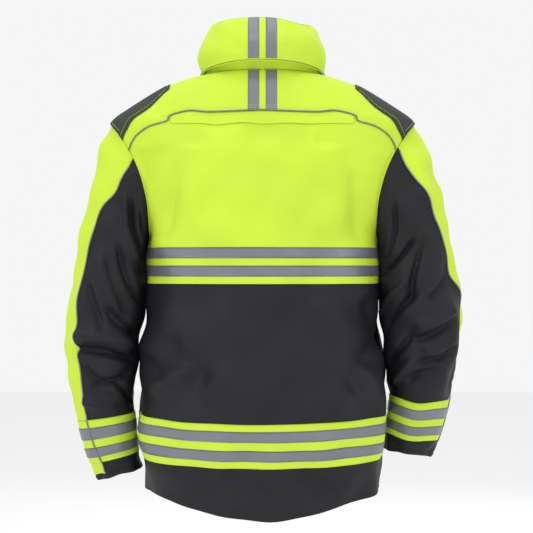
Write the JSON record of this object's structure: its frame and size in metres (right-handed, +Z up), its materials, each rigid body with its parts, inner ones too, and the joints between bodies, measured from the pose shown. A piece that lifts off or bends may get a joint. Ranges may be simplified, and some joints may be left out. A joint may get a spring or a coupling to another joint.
{
  "type": "turnout coat",
  "caption": "Hip-length high-visibility turnout coat with reflective tape, shoulder patches, a stowed-hood collar, a front zip under a storm flap, and swinging sleeves.",
  "frame": {"origin": "centre of the neck opening, level with the back neck seam, where the coat hangs on its wearer", "axes": "+Z up, the coat's front faces -Y and its back +Y, the wearer's left is +X"},
  "size_m": [0.7111, 0.3303, 0.8791],
  "materials": {
    "bright_shell": "matte fluorescent woven shell, waterproof coated",
    "dark_shell": "matte dark woven shell",
    "reflective_tape": "glass-bead reflective tape, fine ribbed",
    "piping": "reflective piping",
    "shoulder_cloth": "heavy matte reinforcement cloth",
    "quilted_lining": "quilted lining",
    "zip_coil": "moulded zip chain on woven tape",
    "zip_metal": "satin plated",
    "hook_and_loop": "hook-and-loop pile"
  },
  "bodies": {
    "coat": {"lower_back_panel": "dark_shell", "lower_front_left": "dark_shell", "lower_front_right": "dark_shell", "pocket_left": "dark_shell", "pocket_right": "dark_shell", "hanger_loop": "dark_shell", "upper_back_panel": "bright_shell", "back_yoke": "bright_shell", "upper_front_left": "bright_shell", "upper_front_right": "bright_shell", "hem_band": "bright_shell", "back_vent_flap": "bright_shell", "collar_stand": "bright_shell", "hood_collar": "bright_shell", "stowed_hood": "bright_shell", "hem_tape_lower": "reflective_tape", "hem_tape_upper": "reflective_tape", "chest_tape_lower": "reflective_tape", "chest_tape_upper": "reflective_tape", "yoke_tape_left": "reflective_tape", "yoke_tape_right": "reflective_tape", "collar_tape_left": "reflective_tape", "collar_tape_right": "reflective_tape", "yoke_piping": "piping", "shoulder_patch_left": "shoulder_cloth", "shoulder_patch_right": "shoulder_cloth", "body_lining": "quilted_lining", "collar_lining": "quilted_lining", "hood_zip": "zip_coil", "zip_tape_left": "zip_coil", "zip_tape_right": "zip_coil", "snap_stud_1": "zip_metal", "snap_stud_2": "zip_metal", "flap_loop_strip": "hook_and_loop", "sleeve_head_left": "dark_shell", "sleeve_head_right": "dark_shell"},
    "storm_flap": {"storm_flap": "dark_shell", "flap_hook_strip": "hook_and_loop", "snap_cap_1": "zip_metal", "snap_cap_2": "zip_metal"},
    "zip_slider": {"zip_slider": "zip_metal"},
    "zip_pull": {"zip_pull": "zip_metal"},
    "hood_zip_slider": {"hood_zip_slider": "zip_metal"},
    "pocket_flap_left": {"pocket_flap_left": "dark_shell"},
    "pocket_flap_right": {"pocket_flap_right": "dark_shell"},
    "sleeve_left": {"sleeve_outer_left": "bright_shell", "sleeve_under_left": "dark_shell", "cuff_left": "dark_shell", "sleeve_band_left": "bright_shell", "sleeve_tape_upper_left": "reflective_tape", "sleeve_tape_lower_left": "reflective_tape", "sleeve_piping_left": "piping"},
    "sleeve_right": {"sleeve_outer_right": "bright_shell", "sleeve_under_right": "dark_shell", "cuff_right": "dark_shell", "sleeve_band_right": "bright_shell", "sleeve_tape_upper_right": "reflective_tape", "sleeve_tape_lower_right": "reflective_tape", "sleeve_piping_right": "piping"}
  },
  "joints": [
    {"name": "left_sleeve_swing", "type": "hinge", "parent": "coat", "child": "sleeve_left", "pos_m": [0.238, 0, -0.17], "axis": [0, -1, 0], "range_deg": [0, 60], "deforming": ["sleeve_head_left"]},
    {"name": "right_sleeve_swing", "type": "hinge", "parent": "coat", "child": "sleeve_right", "pos_m": [-0.238, 0, -0.17], "axis": [0, 1, 0], "range_deg": [0, 60], "deforming": ["sleeve_head_right"]},
    {"name": "storm_flap_open", "type": "hinge", "parent": "coat", "child": "storm_flap", "pos_m": [0.039, -0.13715, -0.39912], "axis": [0, 0.0624, 0.9981], "range_deg": [0, 100]},
    {"name": "zip_slide", "type": "slide", "parent": "coat", "child": "zip_slider", "axis": [0, -0.0624, -0.9981], "range_m": [0, 0.755]},
    {"name": "zip_pull_swing", "type": "hinge", "parent": "zip_slider", "child": "zip_pull", "pos_m": [0, -0.11475, 0.06338], "axis": [-1, 0, 0], "range_deg": [0, 150]},
    {"name": "hood_zip_slide", "type": "hinge", "parent": "coat", "child": "hood_zip_slider", "pos_m": [0, -0.004, -0.0045], "axis": [0, -0.1867, 0.9824], "range_deg": [0, 180]},
    {"name": "left_pocket_flap_lift", "type": "hinge", "parent": "coat", "child": "pocket_flap_left", "pos_m": [0.13349, -0.12828, -0.4338], "axis": [-0.9403, -0.3403, 0], "range_deg": [0, 95]},
    {"name": "right_pocket_flap_lift", "type": "hinge", "parent": "coat", "child": "pocket_flap_right", "pos_m": [-0.13349, -0.12828, -0.4338], "axis": [-0.9403, 0.3403, 0], "range_deg": [0, 95]}
  ]
}
